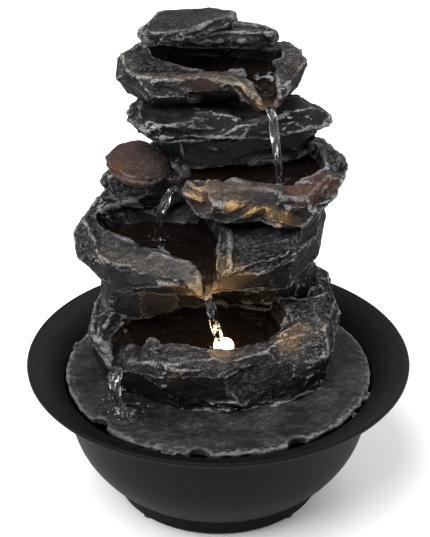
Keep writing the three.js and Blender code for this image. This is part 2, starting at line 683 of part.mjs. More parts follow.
// ---------- the rock stack ----------
const grown = (spec) => rock(spec, BED);
const nozzleSeat = post(outletX, nozzleY, tubeTop - 3, tubeTop + 21, nozzleCollar + GAP, 20);
const lampBore = post(...lamp.at, -20, 20, lead.radius + lead.clearance, 12);
const lampRoom = post(...lamp.at, poolFloor.lower + GAP / 2, poolFloor.lower + 30, lamp.radius + GAP, 28);

// The lower of two rocks is cut to bed the upper one.
const stack = {
  lower_pool_rock: cut(rock(lowerPool), lowerBasin, lowerRunnel, grown(lowerSpacer), ductHole, lampBore, lampRoom),
  lower_spacer_rock: cut(rock(lowerSpacer), grown(middlePool), ductHole),
  middle_pool_rock: cut(
    rock(middlePool), middleBasin, middleRunnel, grown(middleSpacer), grown(upperPool), ductHole,
  ),
  middle_spacer_rock: cut(rock(middleSpacer), grown(pebble), grown(upperPool)),
  side_pebble: cut(rock(pebble), grown(upperPool), grown(upperSpacer), grown(upperSlab)),
  upper_pool_rock: cut(rock(upperPool), upperBasin, upperRunnel, grown(upperSpacer), ductHole),
  upper_spacer_rock: cut(rock(upperSpacer), grown(upperSlab), ductHole),
  upper_slab_rock: cut(rock(upperSlab), grown(topPool), ductHole),
  top_pool_rock: cut(rock(topPool), topBasin, topRunnel, grown(rearCap), ductHole, nozzleSeat),
  rear_cap_rock: cut(rock(rearCap), grown(frontCap)),
  front_cap_rock: rock(frontCap),
};
// A cut can leave a chip beside the rock; the rock is the largest piece.
const largest = (solid) => solid.decompose().reduce((best, next) => (next.volume() > best.volume() ? next : best));

rockery.position.z = plateTop;
put(rockery, 'slate_plate', makePlate(), darkSlate);
for (const [name, solid] of Object.entries(stack)) {
  put(rockery, name, largest(solid), slate);
}

// ---------- water outlet ----------
put(rockery, 'riser_tube', sweep(riser, tubeOuter, tubeBore, tube.sides, tube.steps), clearVinyl);

function makeNozzle() {
  const top = tubeTop + GAP + nozzle.height;
  return lathe([
    [tubeBore, tubeTop + GAP],
    [nozzleCollar, tubeTop + GAP],
    [nozzleCollar, tubeTop + GAP + 2],
    [tubeBore + nozzle.wall, tubeTop + GAP + 2.6],
    [tubeBore + nozzle.wall, top],
    [tubeBore, top],
    [tubeBore, tubeTop + GAP],
  ], 24);
}
put(rockery, 'outlet_nozzle', makeNozzle(), pumpPlastic).position.set(outletX, nozzleY, 0);

// ---------- lamp ----------
const lampFloor = poolFloor.lower + GAP;

function makeLampHousing() {
  const can = lathe([
    [0, 0],
    [lamp.radius - 1, 0],
    [lamp.radius, 1],
    [lamp.radius, lamp.height],
    [lensRadius + GAP, lamp.height],
    [lensRadius + GAP, 3],
    [0, 3],
  ], 28);
  return cut(can, post(0, 0, -1, 4, lead.radius + GAP, 12));
}

function makeLens() {
  const bottom = 3 + GAP;
  const dome = Array.from({ length: 6 }, (_, i) => {
    const angle = turn(i * 18);
    return [lensRadius * Math.cos(angle), lamp.height + 1 + 3.6 * Math.sin(angle)];
  });
  dome[5][0] = 0;
  return lathe([[0, bottom + 3], [lensRadius - 1.4, bottom + 3], [lensRadius - 1.4, bottom], [lensRadius, bottom], ...dome], 28);
}

function makeLeadPath() {
  const [x, y] = lamp.at;
  const low = -plate.thickness - lead.drop;
  return new THREE.CatmullRomCurve3([
    new THREE.Vector3(x, y, lampFloor + 2.5),
    new THREE.Vector3(x, y, 2),
    new THREE.Vector3(x, y, -plate.thickness - 2),
    new THREE.Vector3(x, y + 4, low + 2.5),
    new THREE.Vector3(x, y + 11, low),
    new THREE.Vector3(x, y + lead.run, low),
  ]);
}

function makePlug() {
  const body = post(0, 0, 0, plug.length, plug.radius, 16);
  const mouth = post(0, 0, plug.length - 6, plug.length + 1, plug.radius - 1.2, 16);
  return cut(body, mouth);
}

// A clip under the plate that holds the lamp's lead where it runs level.
function makeLeadClip() {
  const [x, y] = lamp.at;
  const low = -plate.thickness - lead.drop;
  const arm = block(x - 3.2, x + 3.2, y + 13, y + 18, low - 3, -plate.thickness - GAP);
  const hole = toSolid(new THREE.CylinderGeometry(lead.radius + GAP, lead.radius + GAP, 20, 12)
    .translate(x, y + 15, low));
  return cut(arm, hole);
}

const lampHousing = put(rockery, 'lamp_housing', makeLampHousing(), pumpPlastic);
lampHousing.position.set(...lamp.at, lampFloor);
const lampLens = put(rockery, 'lamp_lens', makeLens(), lensPlastic);
lampLens.position.set(...lamp.at, lampFloor);
put(rockery, 'lamp_lead', sweep(makeLeadPath(), lead.radius, 0, 4, 20), rubber);
const lampPlug = put(rockery, 'lamp_connector', makePlug(), pumpPlastic);
lampPlug.position.set(lamp.at[0], lamp.at[1] + lead.run + GAP, -plate.thickness - lead.drop);
lampPlug.rotation.x = turn(-90);
put(rockery, 'lead_clip', makeLeadClip(), pumpPlastic);

export default fountain;
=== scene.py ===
import json
import math

import bmesh
import bpy
import numpy as np
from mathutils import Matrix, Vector
from mathutils.bvhtree import BVHTree


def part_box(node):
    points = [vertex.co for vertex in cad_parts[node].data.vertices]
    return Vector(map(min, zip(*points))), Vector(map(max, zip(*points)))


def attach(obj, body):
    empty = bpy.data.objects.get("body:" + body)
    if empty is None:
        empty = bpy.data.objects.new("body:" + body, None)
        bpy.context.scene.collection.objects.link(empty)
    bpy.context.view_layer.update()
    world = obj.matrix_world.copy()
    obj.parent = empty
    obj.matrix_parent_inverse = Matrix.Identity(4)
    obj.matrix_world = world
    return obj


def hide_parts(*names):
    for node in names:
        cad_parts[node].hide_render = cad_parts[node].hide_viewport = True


# Tabletop water fountain. The CAD rocks and plate are remeshed and roughened, the bowl is turned again with a finer
# profile, and the water, its streams and the lamp's glow are added. Places and lengths in the tables are
# millimetres in the frame's own axes.
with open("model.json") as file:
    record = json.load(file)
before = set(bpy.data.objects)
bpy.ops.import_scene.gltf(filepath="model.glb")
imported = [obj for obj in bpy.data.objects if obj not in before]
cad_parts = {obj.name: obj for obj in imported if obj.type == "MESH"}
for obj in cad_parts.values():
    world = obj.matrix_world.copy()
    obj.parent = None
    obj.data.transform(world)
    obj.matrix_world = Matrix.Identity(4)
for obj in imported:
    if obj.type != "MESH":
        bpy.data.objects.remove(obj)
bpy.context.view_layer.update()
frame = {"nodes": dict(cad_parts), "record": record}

MM = 0.001
ROCK_VOXEL = 0.75
PLATE_VOXEL = 0.8
WATER_VOXEL = 0.34
DROP_VOXEL = 0.22
WELD = 1e-6
scene = bpy.context.scene

ROCKS = [
    "lower_pool_rock", "lower_spacer_rock", "middle_pool_rock", "middle_spacer_rock",
    "side_pebble", "upper_pool_rock", "upper_spacer_rock", "upper_slab_rock",
    "top_pool_rock", "rear_cap_rock", "front_cap_rock",
]


# ---------- noise on arrays of points ----------
def cell_hash(cells, seed):
    """A 32-bit number for each cell, the same in every run."""
    x, y, z = (cells[..., i].astype(np.int64) for i in range(3))
    h = (x * 374761393 + y * 668265263 + z * 1440662683 + seed * 974634777) & 0xFFFFFFFF
    h = ((h ^ (h >> 13)) * 1274126177) & 0xFFFFFFFF
    return h ^ (h >> 16)


def cell_random(h, k):
    """A number from 0 to 1 for each hash; k picks another one for the same cell."""
    h = ((h + k * 2654435769) & 0xFFFFFFFF) * 2246822519 & 0xFFFFFFFF
    h = ((h ^ (h >> 15)) * 3266489917) & 0xFFFFFFFF
    return ((h ^ (h >> 13)) & 0xFFFFFF) / float(0xFFFFFF)


def value_noise(p, seed):
    """Smooth noise from 0 to 1 at each point, one cell wide."""
    low = np.floor(p)
    f = p - low
    f = f * f * (3 - 2 * f)
    total = 0
    for dx in (0, 1):
        for dy in (0, 1):
            for dz in (0, 1):
                corner = cell_random(cell_hash(low + (dx, dy, dz), seed), 1)
                weight = (f[:, 0] if dx else 1 - f[:, 0]) * (f[:, 1] if dy else 1 - f[:, 1])
                total = total + corner * weight * (f[:, 2] if dz else 1 - f[:, 2])
    return total


def per_index(index, seed, k):
    """A number from 0 to 1 for each whole number in index."""
    return cell_random(cell_hash(np.stack([index, index * 0, index * 0], axis=1), seed), k)


def layered_noise(p, seed, octaves=3):
    """Value noise with finer layers added, each half as strong and twice as fine as the last."""
    total = sum(value_noise(p * 2**i, seed + i) / 2**i for i in range(octaves))
    return total / sum(0.5**i for i in range(octaves))


# ---------- meshes ----------
def new_object(name, mesh):
    obj = bpy.data.objects.new(name, mesh)
    scene.collection.objects.link(obj)
    return obj


def mesh_from(name, points, faces, smooth=True):
    mesh = bpy.data.meshes.new(name)
    mesh.from_pydata([tuple(p) for p in points], [], [tuple(f) for f in faces])
    mesh.validate()
    if smooth:
        mesh.shade_smooth()
    return new_object(name, mesh)


def read(mesh, what, kind="co"):
    out = np.empty(len(what) * 3, dtype=np.float64)
    what.foreach_get(kind, out)
    return out.reshape(-1, 3)


def applied(obj):
    """The object with its modifiers applied."""
    graph = bpy.context.evaluated_depsgraph_get()
    mesh = bpy.data.meshes.new_from_object(obj.evaluated_get(graph))
    obj.modifiers.clear()
    obj.data = mesh
    return obj


def remeshed(obj, voxel):
    mod = obj.modifiers.new("remesh", "REMESH")
    mod.mode = "VOXEL"
    mod.voxel_size = voxel
    mod.use_smooth_shade = True
    return applied(obj)


def node_copy(node, name):
    """A welded copy of a CAD node's mesh."""
    mesh = frame["nodes"][node].data.copy()
    mesh.name = name
    mesh.materials.clear()
    work = bmesh.new()
    work.from_mesh(mesh)
    bmesh.ops.remove_doubles(work, verts=work.verts, dist=WELD)
    work.to_mesh(mesh)
    work.free()
    return new_object(name, mesh)


def neighbour_mean(values, pairs, count):
    """The mean over each vertex's neighbours; pairs holds the two ends of every edge."""
    total = np.empty_like(values)
    for i in range(3):
        total[:, i] = np.bincount(pairs[:, 0], values[pairs[:, 1], i], count)
        total[:, i] += np.bincount(pairs[:, 1], values[pairs[:, 0], i], count)
    links = np.bincount(pairs.ravel(), minlength=count)
    return total / np.maximum(links, 1)[:, None]


def edge_pairs(mesh):
    pairs = np.empty(len(mesh.edges) * 2, dtype=np.int64)
    mesh.edges.foreach_get("vertices", pairs)
    return pairs.reshape(-1, 2)


def relief(mesh, rounds):
    """How far each vertex stands out of its surroundings, in millimetres."""
    pairs = edge_pairs(mesh)
    points = read(mesh, mesh.vertices)
    normals = read(mesh, mesh.vertex_normals, "vector")
    smooth = points.copy()
    for _ in range(rounds):
        smooth = neighbour_mean(smooth, pairs, len(points))
    return ((points - smooth) * normals).sum(axis=1) / MM


def store(mesh, name, values):
    """Puts one number per vertex where a material can read it."""
    layer = mesh.attributes.new(name, "FLOAT", "POINT")
    layer.data.foreach_set("value", np.ascontiguousarray(values, dtype=np.float32))


def blob(points, spots):
    """The strongest of several soft round patches: each spot is (x, y, z, radius, strength)."""
    out = np.zeros(len(points))
    for x, y, z, radius, strength in spots:
        away = np.linalg.norm(points - (x, y, z), axis=1) / radius
        out = np.maximum(out, strength * np.clip(1.5 - 1.5 * away, 0, 1))
    return out


# ---------- where the paint is warm, where the lamp's glow is painted on, and where the rock is wet ---
# Each spot is (x, y, z, radius, strength). A strength above 1 also colours the flat faces, not just the edges.
# The gold spots hold gold paint and painted light together: those round the second tier's notch, along the third
# tier's front band and at the lower pool's right side paint the lamp's warm glow.
GOLD_AND_LAMP_GLOW = [
    (-8, -22, 130, 16, 1.0), (4, -22, 132, 14, 1.0), (12, -24, 137, 13, 0.9), (-22, -27, 130, 12, 0.7),
    (-34, -27, 131, 9, 0.3), (4, -14, 142, 12, 0.8), (-2, -26, 128, 12, 1.0), (8, -15, 178, 7, 1.2),
    (16, -16, 176, 9, 2.2), (25, -17, 174, 10, 2.4), (33, -17, 171, 9, 2.2), (40, -18, 170, 7, 1.2),
    (-14, -6, 184, 9, 0.6), (20, 16, 224, 8, 0.35), (32, 12, 223, 6, 0.35), (12, 22, 229, 7, 0.3),
    (-66, -12, 147, 7, 0.35), (38, -22, 104, 9, 0.45), (44, -14, 108, 9, 0.4), (-22, -48, 96, 10, 0.12),
]
RUST = [
    (-6, -14, 132, 14, 1.0), (-8, -4, 139, 14, 0.9), (44, -8, 188, 13, 0.9), (55, 4, 188, 13, 0.7),
    (44, 50, 236, 9, 0.2), (24, 26, 222, 12, 0.9), (27, 16, 220, 9, 1.0), (-8, 24, 236, 14, 0.45),
    (-56, 18, 187, 10, 0.6), (-50, 12, 178, 8, 0.7), (-10, -8, 186, 16, 0.4), (10, -12, 187, 14, 0.35),
    (40, 40, 238, 8, 0.2),
]
TAN = [
    (-62, -8, 152, 14, 0.5), (-48, -18, 151, 15, 0.7), (-32, -22, 150, 14, 0.7), (-18, -26, 148, 12, 0.6),
    (-16, 0, 187, 11, 0.7), (-4, -6, 188, 12, 0.9), (10, -8, 189, 12, 0.9), (24, -7, 189, 10, 0.7),
    (-34, 28, 233, 14, 0.5), (-16, 26, 233, 14, 0.7), (2, 26, 233, 14, 0.7), (14, 22, 232, 10, 0.7),
    (-50, 42, 234, 12, 0.35), (38, -26, 105, 14, 0.4), (50, -16, 108, 14, 0.35),
]
POOLS = {
    "lower": {"rock": "lower_pool_rock", "centre": (-6, 0), "level": 97.0, "reach": 62},
    "middle": {"rock": "middle_pool_rock", "centre": (-26, 16), "level": 144.5, "reach": 46},
    "upper": {"rock": "upper_pool_rock", "centre": (22, 22), "level": 181.0, "reach": 52},
    "top": {"rock": "top_pool_rock", "centre": (2, 57), "level": 229.5, "reach": 46},
}
WET = [
    (-50, -26, 96, 18, 1.0), (-54, -40, 88, 16, 1.0), (-6, -6, 90, 44, 1.0), (-10, -12, 138, 22, 1.0),
    (-26, 14, 138, 44, 0.9), (20, 22, 176, 42, 0.9), (-20, 14, 178, 14, 1.0), (24, 30, 224, 18, 1.0),
    (0, 58, 222, 40, 0.9),
]


# ---------- rocks ----------
# What each rock's chiselling differs in: facet width and depth, ledge height, bed thickness, small facets' depth.
LOOKS = {
    "side_pebble": {"wide": 24, "deep": 0.7, "ledge": 0.5, "layer": 7.5, "fine": 0.2},
    "front_cap_rock": {"wide": 17, "deep": 1.2, "ledge": 0.5, "layer": 4.2, "fine": 0.3},
    "rear_cap_rock": {"wide": 17, "deep": 1.2, "ledge": 0.5, "layer": 4.2, "fine": 0.3},
    "upper_slab_rock": {"wide": 17, "deep": 1.9, "ledge": 0.9, "layer": 6.5, "fine": 0.3},
    "upper_spacer_rock": {"wide": 14, "deep": 1.6, "ledge": 1.5, "layer": 4.2, "fine": 0.4},
    "lower_spacer_rock": {"wide": 14, "deep": 1.8, "ledge": 1.3, "layer": 5.0},
    "top_pool_rock": {"wide": 14, "deep": 2.0},
}

# The share of pale dust with painted light and of warm paint with the lamp's painted glow on each rock, 1 where it
# isn't listed.
DUST_AND_LIGHT_SHARES = {
    "front_cap_rock": 0.45, "rear_cap_rock": 0.45, "upper_slab_rock": 0.22, "upper_spacer_rock": 0.5,
    "lower_spacer_rock": 0.6, "lower_pool_rock": 1.25,
}
WARMTH = {"lower_spacer_rock": 0.15, "upper_slab_rock": 0.3}


def spread_out(points, spacing, draw, tries=3000):
    """Indexes of points at least spacing apart, with heights counted half as much again."""
    stretched = points * (1, 1, 1.5)
    chosen = []
    for i in draw.permutation(len(points))[:tries]:
        if not chosen or ((stretched[chosen] - stretched[i]) ** 2).sum(axis=1).min() > spacing**2:
            chosen.append(i)
    return chosen


def facet(points, normals, seed, spacing, deep, tilt):
    """Presses the surface onto flat facets, and says which facet each point lies on.

    Every facet is a plane through a patch of the surface. A point takes the plane that lies deepest below it, but
    planes that are far away or that face elsewhere cost more.
    """
    draw = np.random.default_rng(seed)
    best = np.full(len(points), 1e9)
    owner = np.zeros(len(points), dtype=int)
    order = np.argsort(points[:, 0])
    sorted_x = points[order, 0]
    reach = spacing * 2.2
    for k, i in enumerate(spread_out(points, spacing, draw)):
        first, last = np.searchsorted(sorted_x, (points[i, 0] - reach, points[i, 0] + reach))
        slab = order[first:last]
        away = np.linalg.norm(points[slab] - points[i], axis=1)
        slab, away = slab[away < reach], away[away < reach]
        close = slab[away < spacing * 0.62]
        lean = normals[close].mean(axis=0) + draw.normal(0, tilt, 3)
        lean /= np.linalg.norm(lean)
        spot = points[close].mean(axis=0) - lean * deep * draw.uniform(-0.15, 0.4)
        facing = normals[slab] @ lean
        drop = ((spot - points[slab]) @ lean) / np.maximum(facing, 0.4)
        drop = np.where(drop < -deep, -2 * deep - drop, drop)
        far_off = np.maximum(away - spacing * 0.7, 0) ** 2
        turned_away = np.maximum(0.75 - facing, 0)
        cost = drop + 0.05 * far_off + 5 * turned_away
        better = cost < best[slab]
        best[slab[better]] = cost[better]
        owner[slab[better]] = k
    return points + normals * np.clip(best, -deep, deep * 0.6)[:, None], owner


def normals_of(mesh, points):
    """Moves the mesh to the points and gives its new normals."""
    mesh.vertices.foreach_set("co", (points * MM).ravel())
    mesh.update()
    return read(mesh, mesh.vertex_normals, "vector")


def softened(mesh, points, rounds, share=0.6):
    """The points drawn towards the mean of their neighbours."""
    pairs = edge_pairs(mesh)
    for _ in range(rounds):
        points = points + share * (neighbour_mean(points, pairs, len(points)) - points)
    return points


BED_SLOPE = (0.16, 0.1, 1.0)      # across the beds: they dip a little to the right and the back
LIP = 0.2                         # the share of a bed's thickness that its step takes
SMALL_FACETS = 0.42               # their width over that of the large ones
DEEPEST, HIGHEST = -3.4, 1.8      # how far chiselling may go below and above the surface it starts from


def chisel(obj, seed, wide=19.0, deep=2.6, layer=7.0, ledge=0.8, fine=0.42):
    """Turns a smooth rock into one of broken faces, strata and grain."""
    mesh = obj.data
    points = read(mesh, mesh.vertices) / MM
    normals = read(mesh, mesh.vertex_normals, "vector")
    start, first = points.copy(), normals.copy()
    upright = 1 - normals[:, 2] ** 2
    warp = np.stack([layered_noise(points / 30, seed + k, 2) for k in (31, 47, 59)], axis=1) - 0.5
    at = ((points + warp * 12) @ BED_SLOPE) / layer
    bed = np.floor(at)
    shelf, above = (per_index(bed + up, seed, 3) for up in (0, 1))
    step = shelf + (above - shelf) * np.clip((at - bed - (1 - LIP)) / LIP, 0, 1)
    swell = layered_noise(points / 15, seed + 3, 2) - 0.5
    points = points + normals * (ledge * upright * (step - 0.5) + 1.5 * swell)[:, None]
    normals = normals_of(mesh, points)
    points, owner = facet(points, normals, seed, wide, deep, 0.1)
    points = softened(mesh, points, 2)
    normals = normals_of(mesh, points)
    points = facet(points, normals, seed + 1, wide * SMALL_FACETS, fine, 0.07)[0]
    normals = normals_of(mesh, points)
    turns = per_index(owner, seed, 5) * 1.2 - 0.6
    across = points[:, 2] * np.cos(turns) + (points[:, 0] - 0.5 * points[:, 1]) * np.sin(turns)
    lines = np.stack([across / 1.7, points[:, 0] / 14, points[:, 1] / 14], axis=1)
    grain = value_noise(lines, seed + 9) - 0.5
    pits = layered_noise(points / 1.9, seed + 13, 2) - 0.5
    points = points + normals * (0.34 * grain * (0.35 + upright) + 0.16 * pits)[:, None]
    moved = ((points - start) * first).sum(axis=1)
    points -= first * (moved - np.clip(moved, DEEPEST, HIGHEST))[:, None]
    mesh.vertices.foreach_set("co", (points * MM).ravel())
    mesh.update()


def paint(obj, dust_and_light=1.0, warmth=1.0):
    """Stores where the stone is worn pale, dusty and lit (painted light on faces turned to the key light), where its
    hollows take painted shade, where it is wet, and where it is warm (gold paint and the lamp's painted glow).

    The two numbers after obj are the shares of pale dust with painted light, and of warm paint with the lamp's painted
    glow.
    """
    mesh = obj.data
    points = read(mesh, mesh.vertices) / MM
    normals = read(mesh, mesh.vertex_normals, "vector")
    near, far = relief(mesh, 2), relief(mesh, 16)
    edge = np.clip((near - 0.07) / 0.09, 0, 1) * np.clip(0.25 + far / 0.5, 0, 1)
    ridge = np.clip(edge + np.clip((far - 0.25) / 0.8, 0, 1) * 0.25, 0, 1)
    # painted shade: how far each point lies down in a hollow
    painted_hollow_shade = np.clip(-far / 0.4, 0, 1)
    # painted light: the pale dust is laid thickest on faces turned towards the key light
    light = np.clip(normals @ (-0.35, -0.25, 0.9), 0, 1)
    dust_and_painted_light = light * (0.55 + 1.1 * (layered_noise(points / 13, 77, 3) - 0.35))
    store(mesh, "dust_and_painted_light", np.clip(dust_and_light * dust_and_painted_light, 0, 1))
    wet = blob(points, WET) * np.clip(normals[:, 2] * 2 + 1.2, 0, 1)
    store(mesh, "ridge", ridge)
    store(mesh, "painted_hollow_shade", painted_hollow_shade)
    store(mesh, "gold_and_lamp_glow", warmth * blob(points, GOLD_AND_LAMP_GLOW))
    store(mesh, "rust", warmth * blob(points, RUST))
    store(mesh, "tan", warmth * blob(points, TAN) * np.clip(normals[:, 2] * 1.6, 0, 1))
    store(mesh, "wet", wet)


# ---------- materials ----------
class Look:
    """A material's node tree, built step by step."""

    def __init__(self, name, **values):
        self.material = bpy.data.materials.new(name)
        self.material.use_nodes = True
        self.tree = self.material.node_tree
        self.shader = self.tree.nodes["Principled BSDF"]
        for key, value in values.items():
            self.shader.inputs[key.replace("_", " ")].default_value = value
        self.place = self.tree.nodes.new("ShaderNodeTexCoord").outputs["Object"]

    def node(self, kind, inputs=None, **settings):
        made = self.tree.nodes.new("ShaderNode" + kind)
        for key, value in settings.items():
            setattr(made, key, value)
        for key, value in (inputs or {}).items():
            self.plug(made.inputs[key], value)
        return made

    def plug(self, socket, value):
        if isinstance(value, bpy.types.NodeSocket):
            self.tree.links.new(value, socket)
        elif isinstance(value, tuple) and len(value) == 3 and socket.type == "RGBA":
            socket.default_value = (*value, 1)
        else:
            socket.default_value = value

    def noise(self, size, detail=3.0, roughness=0.55, stretch=(1, 1, 1)):
        """Noise with features about size metres across."""
        scales = tuple(s / size for s in stretch)
        scale = self.node("VectorMath", {0: self.place, 1: scales}, operation="MULTIPLY")
        settings = {"Vector": scale.outputs[0], "Scale": 1.0, "Detail": detail, "Roughness": roughness}
        made = self.node("TexNoise", settings)
        return made.outputs["Fac"]

    def ramp(self, value, low, high, out_low=0.0, out_high=1.0):
        settings = {"Value": value, "From Min": low, "From Max": high, "To Min": out_low, "To Max": out_high}
        made = self.node("MapRange", settings)
        return made.outputs["Result"]

    def math(self, operation, a, b=0.0):
        made = self.node("Math", {0: a, 1: b}, operation=operation, use_clamp=True)
        return made.outputs[0]

    def mix(self, factor, a, b):
        made = self.tree.nodes.new("ShaderNodeMix")
        made.data_type = "RGBA"
        for index, value in ((0, factor), (6, a), (7, b)):
            self.plug(made.inputs[index], value)
        return made.outputs[2]

    def attribute(self, name):
        return self.node("Attribute", attribute_name=name).outputs["Fac"]

    def bump(self, height, strength, distance, below=None):
        made = self.node("Bump", {"Height": height, "Strength": strength, "Distance": distance})
        if below is not None:
            self.plug(made.inputs["Normal"], below)
        return made.outputs["Normal"]

    def set(self, **inputs):
        for key, value in inputs.items():
            self.plug(self.shader.inputs[key.replace("_", " ")], value)
        return self.material


GILT_AND_GLOW = (0.6, 0.36, 0.13)
RUSTY_BROWN = (0.085, 0.03, 0.014)
WARM_BROWN = (0.085, 0.04, 0.028)
TAN_BODY = (0.1, 0.082, 0.06)
TAN_DUST = (0.27, 0.205, 0.13)
SOAKED = (0.006, 0.005, 0.004)


def stone_look(name, dark, mid, brushed_and_lit, warm_body=0.0):
    """Cast stone: a mottled dark body with painted shade in its hollows, pale brushed edges, dust with painted light
    on faces turned to the key light, warm paint with the lamp's painted glow near it, and a darker gloss where it is
    wet.
    """
    look = Look(name)
    ridge, painted_hollow_shade, dust_and_painted_light = look.attribute("ridge"), look.attribute("painted_hollow_shade"), look.attribute("dust_and_painted_light")
    gold_and_lamp_glow, rust, wet = look.attribute("gold_and_lamp_glow"), look.attribute("rust"), look.attribute("wet")
    body = look.mix(look.ramp(look.noise(0.009, 5, 0.65), 0.36, 0.64), dark, mid)
    # painted shade: the body darkens in the rock's hollows
    body = look.mix(look.math("MULTIPLY", painted_hollow_shade, 0.85), body, tuple(c * 0.25 for c in dark))
    if warm_body:
        body = look.mix(look.ramp(look.noise(0.016, 3), 0.3, 0.6, 0.0, warm_body), body, WARM_BROWN)
    rusty = look.math("MULTIPLY", rust, look.ramp(look.noise(0.009, 3), 0.3, 0.6, 0.35, 0.9))
    body = look.mix(rusty, body, RUSTY_BROWN)
    grains = look.noise(0.00085, 3, 0.7)
    streaks = look.noise(0.003, 5, 0.75, (1, 1, 2.4))
    tooth = look.math("ADD", look.math("MULTIPLY", grains, 0.5), look.math("MULTIPLY", streaks, 0.5))
    edges = look.math("MULTIPLY", look.ramp(ridge, 0.08, 0.75), look.ramp(tooth, 0.43, 0.54, 0.06, 1.0))
    edges = look.math("MULTIPLY", edges, look.ramp(look.noise(0.017, 3, 0.6), 0.4, 0.6, 0.3, 1.0))
    # painted light: the dust mask follows the faces turned to the key light; with the brushed edges it makes the pale
    # mix
    dust_and_light = look.math("MULTIPLY", dust_and_painted_light, look.ramp(tooth, 0.5, 0.6))
    brush_and_light = look.math("MAXIMUM", edges, look.math("MULTIPLY", dust_and_light, 0.5))
    brush_and_light = look.math("MULTIPLY", brush_and_light, look.ramp(wet, 0, 1, 1.0, 0.3))
    brush_and_light = look.math("MULTIPLY", brush_and_light, look.ramp(rust, 0, 1, 1.0, 0.35))
    pale_and_lit = look.mix(look.attribute("tan"), brushed_and_lit, TAN_DUST)
    tanned = look.math("MULTIPLY", look.attribute("tan"), look.ramp(tooth, 0.42, 0.56, 0.25, 0.75))
    body = look.mix(tanned, body, TAN_BODY)
    colour = look.mix(brush_and_light, body, pale_and_lit)
    # gold paint, and the lamp's warm glow painted on the faces near it
    gilt_and_glow = look.math("MULTIPLY", gold_and_lamp_glow, look.ramp(ridge, 0.0, 0.7, 0.2, 1.0))
    gilt_and_glow = look.math("MULTIPLY", gilt_and_glow, look.ramp(tooth, 0.40, 0.56, 0.3, 1.0))
    colour = look.mix(gilt_and_glow, colour, GILT_AND_GLOW)
    soaked = look.mix(0.62, colour, SOAKED)
    colour = look.mix(look.math("MULTIPLY", wet, 0.6), colour, soaked)
    normal = look.bump(look.noise(0.0016, 4, 0.65, (0.32, 0.32, 1.3)), 0.55, 0.0009)
    normal = look.bump(grains, 0.7, 0.0004, normal)
    look.set(Base_Color=colour, Normal=normal)
    look.set(Roughness=look.ramp(wet, 0.1, 0.9, 0.74, 0.16))
    look.set(Specular_IOR_Level=look.ramp(wet, 0.0, 0.9, 0.1, 0.5))
    return look.material


stone = stone_look(
    "cast_stone", dark=(0.0024, 0.0024, 0.0026), mid=(0.0125, 0.0125, 0.0135), brushed_and_lit=(0.3, 0.298, 0.295),
)
warm_stone = stone_look(
    "warm_stone", dark=(0.007, 0.0056, 0.0052), mid=(0.022, 0.017, 0.0155), brushed_and_lit=(0.15, 0.13, 0.12),
    warm_body=0.3,
)


PEBBLE_WEAR = 60        # rounds of smoothing
PEBBLE_CRACK = 183.4    # height of the crack round it


def rounded(obj, rounds, crack, wave):
    """Wears a rock smooth, then opens a crack round it at a height that wanders by about wave."""
    worn = obj.modifiers.new("worn", "SMOOTH")
    worn.iterations = rounds
    worn.factor = 0.7
    applied(obj)
    mesh = obj.data
    points = read(mesh, mesh.vertices) / MM
    normals = read(mesh, mesh.vertex_normals, "vector")
    away = points[:, 2] - crack - wave * (value_noise(points / (9, 9, 50), 3) - 0.5)
    depth = np.exp(-((away / 0.8) ** 2)) * (1 - normals[:, 2] ** 2)
    normals_of(mesh, points - normals * (2.0 * depth)[:, None])


# Large flat breaks. Each takes off the rock beyond a plane, given by a point on it and its outward direction, between
# two x values.
BREAKS = {
    "middle_pool_rock": [
        ((-3, -28, 129.5), (-0.30, -0.82, 0.487), -3.5, 60),
        ((30, -24, 146), (-0.10, -0.55, 0.83), 6, 70),
    ],
    "upper_slab_rock": [
        ((-40, 12, 205), (-0.45, -0.72, -0.53), -80, 4),
        ((30, 8, 212), (0.25, -0.62, 0.74), 0, 80),
    ],
    "lower_pool_rock": [
        ((4, -51, 84), (0.25, -0.9, -0.36), -8, 40),
        ((-34, -50, 96), (-0.45, -0.6, 0.66), -52, -6),
    ],
    "top_pool_rock": [
        ((-22, 24, 224), (-0.35, -0.84, -0.42), -50, -4),
        ((6, 20, 219), (0.22, -0.8, -0.56), -12, 20),
    ],
}
BREAK_DEPTH = 14    # points further beyond the plane than this belong to another face and stay


def broken(mesh, cuts):
    """Lays the rock flat where it stands beyond the cuts' planes."""
    points = read(mesh, mesh.vertices) / MM
    for spot, direction, low_x, high_x in cuts:
        facing = np.array(direction) / np.linalg.norm(direction)
        beyond = (points - spot) @ facing
        hit = (beyond > 0) & (beyond < BREAK_DEPTH) & (points[:, 0] > low_x) & (points[:, 0] < high_x)
        points[hit] -= beyond[hit, None] * facing
    normals_of(mesh, softened(mesh, points, 2))


def make_rock(node, seed):
    obj = remeshed(node_copy(node, node.replace("_rock", "") + "_stone"), ROCK_VOXEL * MM)
    is_pebble = node == "side_pebble"
    if is_pebble:
        rounded(obj, PEBBLE_WEAR, PEBBLE_CRACK, wave=3.0)
    if node in BREAKS:
        broken(obj.data, BREAKS[node])
    chisel(obj, seed, **LOOKS.get(node, {}))
    paint(obj, DUST_AND_LIGHT_SHARES.get(node, 1.0), WARMTH.get(node, 1.0))
    obj.data.materials.append(warm_stone if is_pebble else stone)
    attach(obj, "rockery")
    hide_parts(node)
    return obj


rocks = {node: make_rock(node, 11 + 7 * i) for i, node in enumerate(ROCKS)}


# ---------- bowl ----------
def spline_through(knots, steps):
    """Points along a smooth curve through the knots."""
    knots = [Vector(k) for k in knots]
    ends = [knots[0] * 2 - knots[1], *knots, knots[-1] * 2 - knots[-2]]
    points = []
    for a, b, c, d in zip(ends, ends[1:], ends[2:], ends[3:]):
        for i in range(steps):
            t = i / steps
            bend = (2 * a - 5 * b + 4 * c - d) * t**2 + (3 * b - a - 3 * c + d) * t**3
            points.append(0.5 * (2 * b + (c - a) * t + bend))
    return [*points, knots[-1]]


